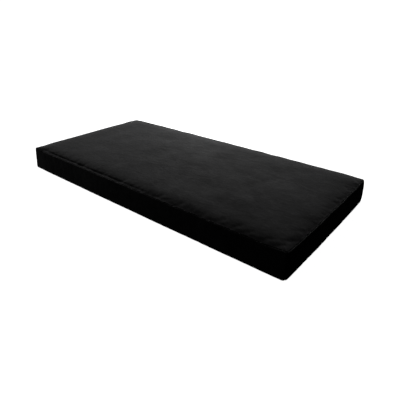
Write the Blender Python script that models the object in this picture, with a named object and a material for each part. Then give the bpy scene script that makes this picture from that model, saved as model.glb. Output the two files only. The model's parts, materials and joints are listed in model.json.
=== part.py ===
"""Futon mattress: a zipped velvet cover over a lined, batting-wrapped foam core.

The origin is the centre of the underside. +X runs along the length, +Z is up, and the zip is in
the +Y side. A section through the edge is a profile of (inset, rise) points: inset is measured
inwards from the outer face of the cover's wall, and rise is measured from mid-wall towards the
top or, for the lower half, towards the underside. A profile runs from the middle of the mattress
out to its wall with the filling on its left, and is carried round the plan, which is a rectangle
with rounded corners.
"""

import math

import bmesh
import bpy
from mathutils import Matrix, Vector

# Overall sizes, in metres
LENGTH = 2.032
WIDTH = 0.991
THICKNESS = 0.152
CORNER_RADIUS = 0.028
CROWN = 0.008  # the top's edge lies this far below its middle
CROWN_REACH = 0.110  # inset at which the top levels out

# Space left between pieces that touch when sewn or stuffed
CLEARANCE = 0.0004

# Cover
VELVET = 0.0015
SEAM_ROLL = 0.003  # outer radius of the fold on each side of a seam
SEAM_ALLOWANCE = 0.009
WALL_DROP = 0.001  # the wall's fold lies this far below the panel's
THREAD_RADIUS = 0.0004

# Zip
ZIP_END_MARGIN = 0.025  # from the end of the straight wall to the end of the teeth
HEM = 0.015
TAPE = 0.0006
TAPE_WIDTH = 0.015
COIL_THICKNESS = 0.0016
COIL_WIDTH = 0.0022
SLIDER_LENGTH = 0.013
SLIDER_PLATE = 0.0012
SLIDER_NECK = 0.0006
SLIDER_FLANGE = 0.0016
SLIDER_STOP_GAP = 0.002
SLOT_EASE = 0.00125  # between the slider and each folded edge
TOPSTITCH_INSET = 0.003  # from the folded edge
BARTACK_LENGTH = 0.003
BAIL_SPAN = 0.0070
BAIL_WIRE_RADIUS = 0.0006
PULL_LENGTH = 0.028
PULL_WIDTH = 0.008
PULL_THICKNESS = 0.0012
KNUCKLE_WALL = 0.0008

# Care label
LABEL_WIDTH = 0.045
LABEL_HEIGHT = 0.030
LABEL_THICKNESS = 0.0004
LABEL_DROP = 0.010
LABEL_FROM_CORNER = 0.200

# Filling
LINER = 0.0006
LINER_ALLOWANCE = 0.005
LINER_THREAD_RADIUS = 0.0003
EDGE_ROUND = 0.030  # how far in the filling's edge starts to turn down
BATTING = 0.012
SHOULDER_GAP = 0.002  # the batting stops this far short of the liner's waist
WAIST_SLOPE = 0.006

# Plan: near the wall the corners are parallel curves, and further in they open out
CORNER_KNEE = 0.012
CORNER_OPENING = 0.6
CORNER_STEPS = 4
ARC_STEP = 30.0  # degrees
CROWN_STEPS = 4
ROUND_STEPS = 4
BEAD_SIDES = 8

# Where things come to lie
EDGE_RISE = (THICKNESS - CROWN) / 2
MID = EDGE_RISE
WALL_CREST = EDGE_RISE - SEAM_ROLL - WALL_DROP
PANEL_CREST = EDGE_RISE - SEAM_ROLL
PANEL_ALLOWANCE_INSET = 2 * SEAM_ROLL + CLEARANCE
PANEL_EDGE = PANEL_ALLOWANCE_INSET + SEAM_ROLL
TIP_RISE = PANEL_CREST - SEAM_ALLOWANCE
CORNER_GAP = 2 * (THREAD_RADIUS + CLEARANCE)

FOLD_RADIUS = VELVET + CLEARANCE / 2
TAPE_INSET = 2 * FOLD_RADIUS + CLEARANCE
COIL_INSET = TAPE_INSET - CLEARANCE - COIL_THICKNESS
NECK_SLOT = SLIDER_NECK + 2 * CLEARANCE
COIL_EDGE = NECK_SLOT / 2 + COIL_WIDTH
SLIDER_HALF_WIDTH = COIL_EDGE + CLEARANCE + SLIDER_FLANGE
SLOT_RISE = SLIDER_HALF_WIDTH + SLOT_EASE
ZIP_HALF = LENGTH / 2 - CORNER_RADIUS - ZIP_END_MARGIN
SLIDER_X = ZIP_HALF - SLIDER_LENGTH / 2 - SLIDER_STOP_GAP
OUTER_PLATE_INSET = COIL_INSET - CLEARANCE - SLIDER_PLATE
INNER_PLATE_INSET = TAPE_INSET + TAPE + CLEARANCE
STITCH_PROUD = CLEARANCE + 2 * THREAD_RADIUS
EYE_RADIUS = BAIL_WIRE_RADIUS + CLEARANCE
KNUCKLE_RADIUS = EYE_RADIUS + KNUCKLE_WALL
KNUCKLE_WIDTH = BAIL_SPAN - 2 * (BAIL_WIRE_RADIUS + CLEARANCE)
BAIL_INSET = min(
    -STITCH_PROUD - CLEARANCE - PULL_THICKNESS / 2,
    OUTER_PLATE_INSET - CLEARANCE - KNUCKLE_RADIUS,
)

LINER_INSET = TAPE_INSET + TAPE + CLEARANCE
WAIST_INSET = INNER_PLATE_INSET + SLIDER_PLATE + 2 * CLEARANCE + 2 * LINER_THREAD_RADIUS
WAIST_RISE = SLIDER_HALF_WIDTH + 2 * CLEARANCE
LINER_SHOULDER = WAIST_RISE + WAIST_SLOPE
FILLING_EDGE = LINER_INSET + EDGE_ROUND

# The corners in the order that the plan runs through them, and the side that follows each
CORNERS = {"front_right": (1, -1), "rear_right": (1, 1), "rear_left": (-1, 1), "front_left": (-1, -1)}
CORNER_SIGNS = list(CORNERS.values())
RIGHT, REAR, LEFT, FRONT = range(4)


# Profiles


def arc(centre, radius, start, end):
    """Points on an arc between two angles in degrees, both ends included."""
    steps = max(1, round(abs(end - start) / ARC_STEP))
    angles = [math.radians(start + (end - start) * i / steps) for i in range(steps + 1)]
    return [
        Vector((centre[0] + radius * math.cos(a), centre[1] + radius * math.sin(a)))
        for a in angles
    ]


def offset(profile, distance):
    """The profile moved to its left by a distance, with mitred corners."""
    normals = [
        Vector((a.y - b.y, b.x - a.x)).normalized() for a, b in zip(profile, profile[1:])
    ]
    moved = []
    for before, point, after in zip(normals[:1] + normals, profile, normals + normals[-1:]):
        mitre = (before + after).normalized()
        moved.append(point + mitre * (distance / mitre.dot(before)))
    return moved


def walled(profile, thickness):
    """The section of a sheet whose outer face is the profile."""
    return profile + offset(profile, thickness)[::-1]


def rectangle(inset, depth, low, high):
    return [
        Vector((inset, low)),
        Vector((inset + depth, low)),
        Vector((inset + depth, high)),
        Vector((inset, high)),
    ]


def face_rise(inset, crown):
    """Rise of a panel's outer face: a parabola from the seam, level from CROWN_REACH inwards."""
    share = (inset - PANEL_EDGE) / (CROWN_REACH - PANEL_EDGE)
    return EDGE_RISE + crown * (1 - (1 - min(max(share, 0), 1)) ** 2)


def crown_insets(crown):
    """Insets from the middle outwards at which a panel's face has a ring of points."""
    if not crown:
        return []
    span = CROWN_REACH - PANEL_EDGE
    return [PANEL_EDGE + span * i / CROWN_STEPS for i in range(CROWN_STEPS, 0, -1)]


def panel_profile(crown):
    """A panel's outer face, over the fold at the seam and down its turned-in allowance."""
    face = [Vector((inset, face_rise(inset, crown))) for inset in crown_insets(crown)]
    fold = arc((PANEL_EDGE, PANEL_CREST), SEAM_ROLL, 90, 180)
    return face + fold + [Vector((PANEL_ALLOWANCE_INSET, TIP_RISE))]


def wall_top_profile():
    """The wall's outer face from the tip of its allowance, over the fold, to the wall itself."""
    tip = Vector((2 * SEAM_ROLL, TIP_RISE))
    return [tip] + arc((SEAM_ROLL, WALL_CREST), SEAM_ROLL, 0, 180)


def hem_profile():
    """The folded edge beside the zip: down the wall, round the fold and up the hem behind it."""
    fold = arc((FOLD_RADIUS, SLOT_RISE + FOLD_RADIUS), FOLD_RADIUS, 180, 360)
    return fold + [Vector((2 * FOLD_RADIUS, SLOT_RISE + HEM))]


def filling_profile(crown):
    """The liner's outer face over the level part and the rounded edge, down to its shoulder.

    The edge is a quarter ellipse. Its height is the one that passes just under the tip of the
    seam allowances.
    """
    under = VELVET + CLEARANCE
    level = face_rise(FILLING_EDGE, crown) - under
    tip_inset = PANEL_ALLOWANCE_INSET + VELVET + CLEARANCE
    tip_depth = level - (TIP_RISE - CLEARANCE)
    share = (FILLING_EDGE - tip_inset) / EDGE_ROUND
    height = tip_depth / (1 - math.sqrt(1 - share**2))
    face = [
        Vector((inset, face_rise(inset, crown) - under))
        for inset in crown_insets(crown)
        if inset > FILLING_EDGE
    ]
    turns = [math.pi / 2 * i / ROUND_STEPS for i in range(ROUND_STEPS + 1)]
    edge = [
        Vector((FILLING_EDGE - EDGE_ROUND * math.sin(t), level - height * (1 - math.cos(t))))
        for t in turns
    ]
    return face + edge + [Vector((LINER_INSET, LINER_SHOULDER + SHOULDER_GAP))]


def liner_profile(crown):
    """The filling's face, drawn in to a waist at mid-wall and turned in for the seam there."""
    join = CLEARANCE / 2
    return filling_profile(crown) + [
        Vector((LINER_INSET, LINER_SHOULDER)),
        Vector((WAIST_INSET, WAIST_RISE)),
        Vector((WAIST_INSET, join)),
        Vector((WAIST_INSET + LINER_ALLOWANCE, join)),
    ]


def seam_thread_centre():
    """The point that is one thread and a clearance away from both folds, in the groove."""
    wall = Vector((SEAM_ROLL, WALL_CREST))
    panel = Vector((PANEL_EDGE, PANEL_CREST))
    apart = panel - wall
    reach = SEAM_ROLL + CLEARANCE + THREAD_RADIUS
    climb = math.sqrt(reach**2 - (apart.length / 2) ** 2)
    return (wall + panel) / 2 + Vector((-apart.y, apart.x)).normalized() * climb


def in_half(profile, half):
    """Points as (inset, height) for the upper (1) or lower (-1) half, filling still on the left."""
    placed = [Vector((p.x, MID + half * p.y)) for p in profile]
    return placed[::half]


# Plan


def corner_radius(inset):
    near = min(inset, CORNER_KNEE)
    return CORNER_RADIUS - near + CORNER_OPENING * (inset - near)


def corner_points(corner, inset, turns):
    """Points round a corner, each at a share of its quarter turn."""
    sign_x, sign_y = CORNER_SIGNS[corner]
    radius = corner_radius(inset)
    x = sign_x * (LENGTH / 2 - inset - radius)
    y = sign_y * (WIDTH / 2 - inset - radius)
    angles = [(corner - 1 + turn) * math.pi / 2 for turn in turns]
    return [(x + radius * math.cos(a), y + radius * math.sin(a)) for a in angles]


def ring_path(inset):
    turns = [i / CORNER_STEPS for i in range(CORNER_STEPS + 1)]
    return [point for corner in range(4) for point in corner_points(corner, inset, turns)]


def side_path(side):
    """The path of one side, from the seam in the corner before it to the seam in the next."""
    gap = CORNER_GAP / 2 / (CORNER_RADIUS * math.pi / 2)
    turns = [i / CORNER_STEPS for i in range(CORNER_STEPS + 1)]
    out = [0.5 + gap] + [turn for turn in turns if turn > 0.5]
    back = [turn for turn in turns if turn < 0.5] + [0.5 - gap]

    def path(inset):
        after = corner_points((side + 1) % 4, inset, back)
        return corner_points(side, inset, out) + after

    return path


def split_at_knee(profile):
    """The profile with a point wherever it crosses the inset at which the corners change."""
    points = [profile[0]]
    for a, b in zip(profile, profile[1:]):
        if (a.x - CORNER_KNEE) * (b.x - CORNER_KNEE) < 0:
            points.append(a.lerp(b, (CORNER_KNEE - a.x) / (b.x - a.x)))
        points.append(b)
    return points


# Objects


def material(name, colour, roughness, metallic=0.0):
    made = bpy.data.materials.new(name)
    made.use_nodes = True
    shader = made.node_tree.nodes["Principled BSDF"]
    shader.inputs["Base Color"].default_value = (*colour, 1.0)
    shader.inputs["Roughness"].default_value = roughness
    shader.inputs["Metallic"].default_value = metallic
    made.diffuse_color = (*colour, 1.0)
    return made


def place(name, data, finish, location=(0, 0, 0), parent=None):
    made = bpy.data.objects.new(name, data)
    made.location = location
    made.parent = parent
    if finish:
        data.materials.append(finish)
    bpy.context.scene.collection.objects.link(made)
    return made


def mesh_of(name, shape, smooth=False):
    bmesh.ops.recalc_face_normals(shape, faces=shape.faces)
    mesh = bpy.data.meshes.new(name)
    shape.to_mesh(mesh)
    shape.free()
    if smooth:
        mesh.shade_smooth()
        mesh.set_sharp_from_angle(angle=math.radians(40))
    return mesh


def carried(name, section, path_of, finish, parent, ring, closed):
    """An object whose section is carried along a path.

    A ring path closes on itself. A section that isn't closed has its two ends capped across the
    middle of the ring, and a closed section on an open path is capped at both ends of the path.
    """
    section = split_at_knee(section)
    shape = bmesh.new()
    rows = [
        [shape.verts.new((x, y, point.y)) for x, y in path_of(point.x)] for point in section
    ]
    if ring:
        rows = [row + row[:1] for row in rows]
    for row, next_row in zip(rows, rows[1:] + rows[:1] if closed else rows[1:]):
        for i in range(len(row) - 1):
            shape.faces.new((row[i], row[i + 1], next_row[i + 1], next_row[i]))
    if not closed:
        for row in (rows[0], rows[-1]):
            shape.faces.new(row[:-1])
    elif not ring:
        for end in (0, -1):
            shape.faces.new([row[end] for row in rows])
    return place(name, mesh_of(name, shape, smooth=True), finish, parent=parent)


def strip(name, side, section, finish, parent):
    return carried(name, section, side_path(side), finish, parent, ring=False, closed=True)


def shell(name, section, finish, parent):
    return carried(name, section, ring_path, finish, parent, ring=True, closed=False)


def thread_ring(name, centre, radius, finish, parent):
    section = arc(centre, radius, 0, 360)[:-1]
    return carried(name, section, ring_path, finish, parent, ring=True, closed=True)


def prism(name, outline, half_length):
    """A mesh: an outline of (y, z) points extruded along X, to both sides of the middle."""
    shape = bmesh.new()
    face = shape.faces.new([shape.verts.new((-half_length, y, z)) for y, z in outline])
    grown = bmesh.ops.extrude_face_region(shape, geom=[face])["geom"]
    far = [item for item in grown if isinstance(item, bmesh.types.BMVert)]
    bmesh.ops.translate(shape, verts=far, vec=(2 * half_length, 0, 0))
    return mesh_of(name, shape)


def box(name, low, high, finish, parent, bevel=0.0):
    """A block between two corners, with its object at its centre."""
    low, high = Vector(low), Vector(high)
    shape = bmesh.new()
    bmesh.ops.create_cube(shape, size=1.0, matrix=Matrix.Diagonal((*(high - low), 1.0)))
    made = place(name, mesh_of(name, shape), finish, (low + high) / 2, parent)
    if bevel:
        edges = made.modifiers.new("edges", "BEVEL")
        edges.width = bevel
        edges.segments = 1
    return made


def wire_curve(name, points, radius):
    curve = bpy.data.curves.new(name, "CURVE")
    curve.dimensions = "3D"
    curve.bevel_depth = radius
    curve.bevel_resolution = 2
    curve.use_fill_caps = True
    line = curve.splines.new("POLY")
    line.points.add(len(points) - 1)
    for spot, point in zip(line.points, points):
        spot.co = (*point, 1.0)
    return curve


def boolean(target, operation, other):
    """Joins or cuts the target with a helper object that isn't itself a piece."""
    other.hide_render = True
    other.display_type = "WIRE"
    step = target.modifiers.new(other.name, "BOOLEAN")
    step.operation = operation
    step.object = other


# Pieces


def make_cover(finishes, root):
    velvet, thread = finishes["velvet"], finishes["thread"]
    shell("cover_top_panel", in_half(walled(panel_profile(CROWN), VELVET), 1), velvet, root)
    shell("cover_bottom_panel", in_half(walled(panel_profile(0), VELVET), -1), velvet, root)
    wall_top = wall_top_profile()
    whole_wall = in_half(wall_top, 1) + in_half(wall_top, -1)
    for name, side in (("boxing_front", FRONT), ("boxing_left", LEFT), ("boxing_right", RIGHT)):
        strip(name, side, walled(whole_wall, VELVET), velvet, root)
    zip_wall = wall_top + hem_profile()
    for name, half in (("boxing_rear_upper", 1), ("boxing_rear_lower", -1)):
        strip(name, REAR, walled(in_half(zip_wall, half), VELVET), velvet, root)
    for name, half in (("top_seam_thread", 1), ("bottom_seam_thread", -1)):
        centre = in_half([seam_thread_centre()], half)[0]
        thread_ring(name, centre, THREAD_RADIUS, thread, root)
    for corner, where in enumerate(CORNERS):
        ((x, y),) = corner_points(corner, VELVET / 2, [0.5])
        line = [(x, y, MID - WALL_CREST), (x, y, MID + WALL_CREST)]
        name = f"corner_seam_thread_{where}"
        place(name, wire_curve(name, line, THREAD_RADIUS), thread, parent=root)


def make_zip(finishes, root):
    tape = rectangle(TAPE_INSET, TAPE, NECK_SLOT / 2, NECK_SLOT / 2 + TAPE_WIDTH)
    stitch = (-CLEARANCE - THREAD_RADIUS, SLOT_RISE + TOPSTITCH_INSET)
    stitch_section = arc(stitch, THREAD_RADIUS, 0, 360)[:-1]
    turns = [math.tau * i / BEAD_SIDES for i in range(BEAD_SIDES)]
    bead = [(COIL_THICKNESS / 2 * math.cos(t), COIL_WIDTH / 2 * math.sin(t)) for t in turns]
    for name, half in (("upper", 1), ("lower", -1)):
        strip(f"zip_tape_{name}", REAR, in_half(tape, half), finishes["tape"], root)
        section = in_half(stitch_section, half)
        strip(f"zip_topstitch_{name}", REAR, section, finishes["thread"], root)
        middle = half * (NECK_SLOT / 2 + COIL_WIDTH / 2)
        spot = (0, WIDTH / 2 - COIL_INSET - COIL_THICKNESS / 2, MID + middle)
        coil = prism(f"zip_coil_{name}", bead, ZIP_HALF)
        place(f"zip_coil_{name}", coil, finishes["coil"], spot, root)
    for name, sign in (("left", -1), ("right", 1)):
        near = sign * (ZIP_HALF + CLEARANCE)
        far = near + sign * BARTACK_LENGTH
        outer = WIDTH / 2 - COIL_INSET
        reach = SLOT_RISE - CLEARANCE
        low = (min(near, far), outer - COIL_THICKNESS, MID - reach)
        high = (max(near, far), outer, MID + reach)
        box(f"zip_bartack_{name}", low, high, finishes["thread"], root, THREAD_RADIUS)


def slider_outline():
    """The slider's section in (y, z) from the wall's outer face: two plates joined by a neck.

    The outer plate has a flange over each row of teeth, and the tapes pass under the flanges.
    """
    plate_back = OUTER_PLATE_INSET + SLIDER_PLATE
    flange_end = TAPE_INSET - CLEARANCE
    half = [
        (OUTER_PLATE_INSET, SLIDER_HALF_WIDTH),
        (flange_end, SLIDER_HALF_WIDTH),
        (flange_end, SLIDER_HALF_WIDTH - SLIDER_FLANGE),
        (plate_back, SLIDER_HALF_WIDTH - SLIDER_FLANGE),
        (plate_back, SLIDER_NECK / 2),
        (INNER_PLATE_INSET, SLIDER_NECK / 2),
        (INNER_PLATE_INSET, SLIDER_HALF_WIDTH),
        (INNER_PLATE_INSET + SLIDER_PLATE, SLIDER_HALF_WIDTH),
    ]
    whole = half + [(inset, -rise) for inset, rise in reversed(half)]
    return [(-inset, rise) for inset, rise in whole]


def make_slider(finish, root):
    at_zip = (SLIDER_X, WIDTH / 2, MID)
    body = prism("zip_slider", slider_outline(), SLIDER_LENGTH / 2)
    slider = place("zip_slider", body, finish, at_zip, root)
    foot = -OUTER_PLATE_INSET - SLIDER_PLATE / 2
    reach = BAIL_SPAN / 2
    route = [(-reach, foot, 0), (-reach, -BAIL_INSET, 0), (reach, -BAIL_INSET, 0), (reach, foot, 0)]
    wire = place("bail_wire", wire_curve("bail_wire", route, BAIL_WIRE_RADIUS), None)
    bail = place("bail", bpy.data.meshes.new_from_object(wire), None, parent=slider)
    bpy.data.objects.remove(wire)
    boolean(slider, "UNION", bail)
    return slider


def make_pull(finish, slider):
    """A flat tab that hangs from a knuckle rolled round the slider's bail, wider at its end."""
    half = PULL_THICKNESS / 2
    tangent = math.degrees(math.asin(half / KNUCKLE_RADIUS))
    outline = arc((0, 0), KNUCKLE_RADIUS, tangent - 90, 270 - tangent)
    outline += [(-half, -PULL_LENGTH), (half, -PULL_LENGTH)]
    tab = prism("zip_pull", outline, KNUCKLE_WIDTH / 2)
    for corner in tab.vertices:
        if corner.co.z < -KNUCKLE_RADIUS:
            corner.co.x *= PULL_WIDTH / KNUCKLE_WIDTH
    pull = place("zip_pull", tab, finish, (0, -BAIL_INSET, 0), slider)
    bore = prism("eye", arc((0, 0), EYE_RADIUS, 0, 360)[:-1], BAIL_SPAN)
    boolean(pull, "DIFFERENCE", place("eye", bore, None, parent=pull))


def make_label(finish, root):
    x = -LENGTH / 2 + LABEL_FROM_CORNER
    y = WIDTH / 2 + CLEARANCE
    z = MID + EDGE_RISE - LABEL_DROP
    low = (x, y, z - LABEL_HEIGHT)
    box("care_label", low, (x + LABEL_WIDTH, y + LABEL_THICKNESS, z), finish, root)


def make_filling(finishes, root):
    core = []
    for name, half, crown in (("upper", 1, CROWN), ("lower", -1, 0)):
        cloth = in_half(walled(liner_profile(crown), LINER), half)
        shell(f"liner_{name}", cloth, finishes["liner"], root)
        face = filling_profile(crown)
        outside = offset(face, LINER + CLEARANCE)
        inside = offset(face, LINER + CLEARANCE + BATTING)
        wadding = in_half(outside + inside[::-1], half)
        shell(f"batting_{name}", wadding, finishes["batting"], root)
        core += in_half(offset(face, LINER + BATTING + 2 * CLEARANCE), half)
    shell("foam_core", core, finishes["foam"], root)
    centre = (WAIST_INSET - CLEARANCE - LINER_THREAD_RADIUS, MID)
    thread_ring("liner_seam_thread", centre, LINER_THREAD_RADIUS, finishes["liner_thread"], root)


def main():
    for old in list(bpy.data.objects):
        bpy.data.objects.remove(old)
    finishes = {
        "velvet": material("black_velvet", (0.012, 0.012, 0.013), 0.85),
        "thread": material("black_thread", (0.015, 0.015, 0.016), 0.6),
        "tape": material("zip_tape", (0.018, 0.018, 0.019), 0.8),
        "coil": material("zip_coil", (0.022, 0.022, 0.023), 0.4),
        "metal": material("dark_metal", (0.16, 0.16, 0.165), 0.35, 1.0),
        "label": material("white_satin", (0.8, 0.8, 0.78), 0.45),
        "liner": material("liner_cloth", (0.05, 0.05, 0.052), 0.9),
        "liner_thread": material("liner_thread", (0.07, 0.07, 0.072), 0.7),
        "batting": material("batting", (0.86, 0.85, 0.82), 0.95),
        "foam": material("foam", (0.83, 0.76, 0.58), 0.9),
    }
    root = place("mattress", None, None)
    make_cover(finishes, root)
    make_zip(finishes, root)
    slider = make_slider(finishes["metal"], root)
    make_pull(finishes["metal"], slider)
    make_label(finishes["label"], root)
    make_filling(finishes, root)


main()
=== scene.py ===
"""Futon mattress: the finished surfaces of a zipped velvet cover and of what it holds.

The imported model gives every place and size. Each soft piece here stands for one of its plain
solids. Most surfaces are grids: their columns are stations round the plan, and their rows are
points of a section, given as an inset from the wall's outer face and a height.
"""

import json
import math

import bmesh
import bpy
import numpy as np
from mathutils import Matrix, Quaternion, Vector


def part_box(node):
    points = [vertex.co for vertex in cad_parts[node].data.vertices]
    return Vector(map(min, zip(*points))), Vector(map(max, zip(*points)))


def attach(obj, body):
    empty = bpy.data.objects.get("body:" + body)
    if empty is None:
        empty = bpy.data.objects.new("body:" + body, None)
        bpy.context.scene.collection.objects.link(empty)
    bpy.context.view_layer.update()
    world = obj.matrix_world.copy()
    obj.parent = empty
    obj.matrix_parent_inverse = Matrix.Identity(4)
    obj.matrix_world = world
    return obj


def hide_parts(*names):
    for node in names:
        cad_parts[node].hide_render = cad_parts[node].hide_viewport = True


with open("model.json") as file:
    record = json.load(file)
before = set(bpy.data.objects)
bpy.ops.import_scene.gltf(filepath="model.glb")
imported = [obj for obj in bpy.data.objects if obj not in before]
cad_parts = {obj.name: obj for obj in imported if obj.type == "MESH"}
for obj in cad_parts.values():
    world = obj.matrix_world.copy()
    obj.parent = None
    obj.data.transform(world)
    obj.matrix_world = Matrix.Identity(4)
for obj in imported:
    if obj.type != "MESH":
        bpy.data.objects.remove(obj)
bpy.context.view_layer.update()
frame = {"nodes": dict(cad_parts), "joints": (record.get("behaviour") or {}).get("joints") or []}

bl_info = {
    "name": "Futon Mattress",
    "version": (1, 0, 0),
    "blender": (4, 5, 0),
    "location": "View3D > Sidebar > Futon",
    "description": "Velvet cover, zip and filling of a futon mattress",
    "category": "Object",
}


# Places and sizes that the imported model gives, in metres

BOXES = {name: tuple(map(np.array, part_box(name))) for name in frame["nodes"]}


def low(node):
    return BOXES[node][0]


def high(node):
    return BOXES[node][1]


def middle(node):
    return (low(node) + high(node)) / 2


def inset_of(node):
    """How far inside the wall's outer face a node of the rear starts."""
    return HALF_WIDTH - high(node)[1]


HALF_LENGTH = float(high("boxing_right")[0])
HALF_WIDTH = float(high("boxing_rear_upper")[1])
EDGE = float(high("boxing_front")[2] + low("boxing_front")[2])
MID = EDGE / 2
WALL_TOP = float(high("boxing_front")[2])
CROWN = float(high("cover_top_panel")[2]) - EDGE
ALLOWANCE_TIP = float(low("cover_top_panel")[2])
PANEL_INSET = inset_of("cover_top_panel")
THREAD = float(high("top_seam_thread")[2] - low("top_seam_thread")[2]) / 2
CLEARANCE = float(low("care_label")[1]) - HALF_WIDTH
SLOT_RISE = float(low("boxing_rear_upper")[2]) - MID
TAPE_INSET = inset_of("zip_tape_upper")
HEM_RADIUS = (TAPE_INSET - CLEARANCE) / 2
HEM_TIP = SLOT_RISE + float(high("zip_tape_upper")[2] - low("zip_tape_upper")[2])
ZIP_HALF = float(high("zip_coil_upper")[0])
LINER_INSET = inset_of("liner_upper")
LINER_THREAD = float(high("liner_seam_thread")[2] - low("liner_seam_thread")[2]) / 2
WAIST_INSET = inset_of("liner_seam_thread") + CLEARANCE + 2 * LINER_THREAD
FILLING_EDGE = LINER_INSET + 0.030
SWING = next(joint for joint in frame["joints"] if joint["name"] == "pull_swing")

# The corners in the order that the plan runs through them, and the side that follows each
CORNERS = np.array(((1, -1), (1, 1), (-1, 1), (-1, -1)))
RIGHT, REAR, LEFT, FRONT = range(4)
FULL_TURN = 2 * math.pi
MATTRESS, SLIDER, PULL = "mattress", "zip_slider", "zip_pull"
CENTRE = (0.0, 0.0, MID)

# Waves that make the cloth uneven: height, length and seed, so that each run gives the same
WAVER = (0.0005, 0.35, 11)  # of the top seam, seen from above
WALL_SWELL = (0.12, 0.50, 12)  # of the wall's bulge, as a share of it
SEAM_SWELL = (0.0007, 0.22, 13)  # of the top seam's height
GATHER_SHORT = (0.7, 0.03, 14)  # of the gathers, as a share of the pucker
GATHER_LONG = (1.0, 0.07, 15)
GROOVE_SWELL = (0.3, 0.12, 16)  # of the groove's depth, as a share of it
TOP_SWELL = (0.0006, 0.26, 21)
SETTLING_SWELL = (0.0004, 0.09, 31)  # of the top before it settles
LOFT_SWELL = (0.0005, 0.05, 41)  # of the wadding


# Settings


def size(name, default, description):
    return bpy.props.FloatProperty(
        name=name, description=description, default=default, unit="LENGTH", precision=5
    )


def share(name, default, description):
    return bpy.props.FloatProperty(
        name=name, description=description, default=default, min=0.0, max=1.0, subtype="FACTOR"
    )


def shade(name, default, description):
    return bpy.props.FloatVectorProperty(
        name=name,
        description=description,
        default=default,
        size=3,
        min=0.0,
        max=1.0,
        subtype="COLOR",
    )


class FutonCover(bpy.types.PropertyGroup):
    """Sizes of the velvet cover."""

    corner_radius: size("Corner radius", 0.022, "Radius of the corners seen from above")
    velvet: size("Velvet", 0.0015, "Thickness of the velvet")
    fold: size("Seam fold", 0.003, "Outer radius of the fold on each side of a seam")
    crown: size("Crown", CROWN + 0.005, "How far the middle of the top stands above its seam")
    crown_reach: size("Crown reach", 0.150, "Distance from the seam over which the top rises")
    top_bow: size("Top bow", 0.002, "How far the top seam bows outwards at mid-length")
    bottom_bow: size("Bottom bow", 0.004, "How far the bottom seam bows outwards at mid-length")
    wall_bow: size("Wall bow", 0.006, "How far the wall bulges between its seams")
    zip_bow: size("Zip wall bow", 0.0015, "How far the wall bulges above and below the zip")
    corner_drop: size("Corner drop", 0.001, "How far the seam dips at a corner")
    pucker: size("Pucker", 0.0005, "Height of the small gathers along a seam")
    crease: size("Corner crease", 0.0022, "Depth of the crease along a corner's seam")
    stitch: size("Stitch", 0.0036, "Length of a stitch")
    slack: share("Slack", 0.005, "Share by which the cloth is cut larger than what it covers")


class FutonZip(bpy.types.PropertyGroup):
    """Sizes of the zip and the label."""

    coil_pitch: size("Coil pitch", 0.0021, "Distance from one tooth of the zip to the next")
    coil_wire: size("Coil wire", 0.00033, "Radius of the nylon wire of the teeth")
    bail_wire: size("Bail wire", 0.0006, "Radius of the wire loop on the slider")
    pull_thickness: size("Pull thickness", 0.0012, "Thickness of the pull tab")
    label: size("Label thickness", 0.0004, "Thickness of the label")


class FutonFilling(bpy.types.PropertyGroup):
    """Sizes of the liner, the batting and the foam."""

    liner: size("Liner", 0.0006, "Thickness of the inner case")
    edge_round: size("Edge rounding", 0.030, "How far in the filling starts to round over")
    batting: size("Batting", 0.012, "Thickness of the wadding round the foam")


class FutonColours(bpy.types.PropertyGroup):
    """Colours of the finishes."""

    # Velvet tones in the base colour: deep is painted shade (pile leaning away from the light), pale
    # is painted sheen (pile leaning towards it).
    velvet_painted_shade: shade("Velvet, deep", (0.0022, 0.0022, 0.0023), "Nap brushed away from the light")
    velvet_painted_sheen: shade("Velvet, pale", (0.0095, 0.0095, 0.0098), "Nap brushed towards the light")
    thread: shade("Thread", (0.010, 0.010, 0.011), "Sewing thread of the cover")
    tape: shade("Zip tape", (0.009, 0.009, 0.0095), "Woven tape of the zip")
    coil: shade("Zip coil", (0.012, 0.012, 0.013), "Nylon teeth of the zip")
    metal: shade("Zip metal", (0.16, 0.16, 0.165), "Plated slider and pull tab")
    label: shade("Label", (0.55, 0.55, 0.53), "Blank satin label")
    liner: shade("Liner", (0.05, 0.05, 0.052), "Charcoal non-woven inner case")
    batting: shade("Batting", (0.86, 0.85, 0.82), "Polyester wadding")
    foam: shade("Foam", (0.83, 0.76, 0.58), "Foam core")


# Plan, waves and fields


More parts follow.
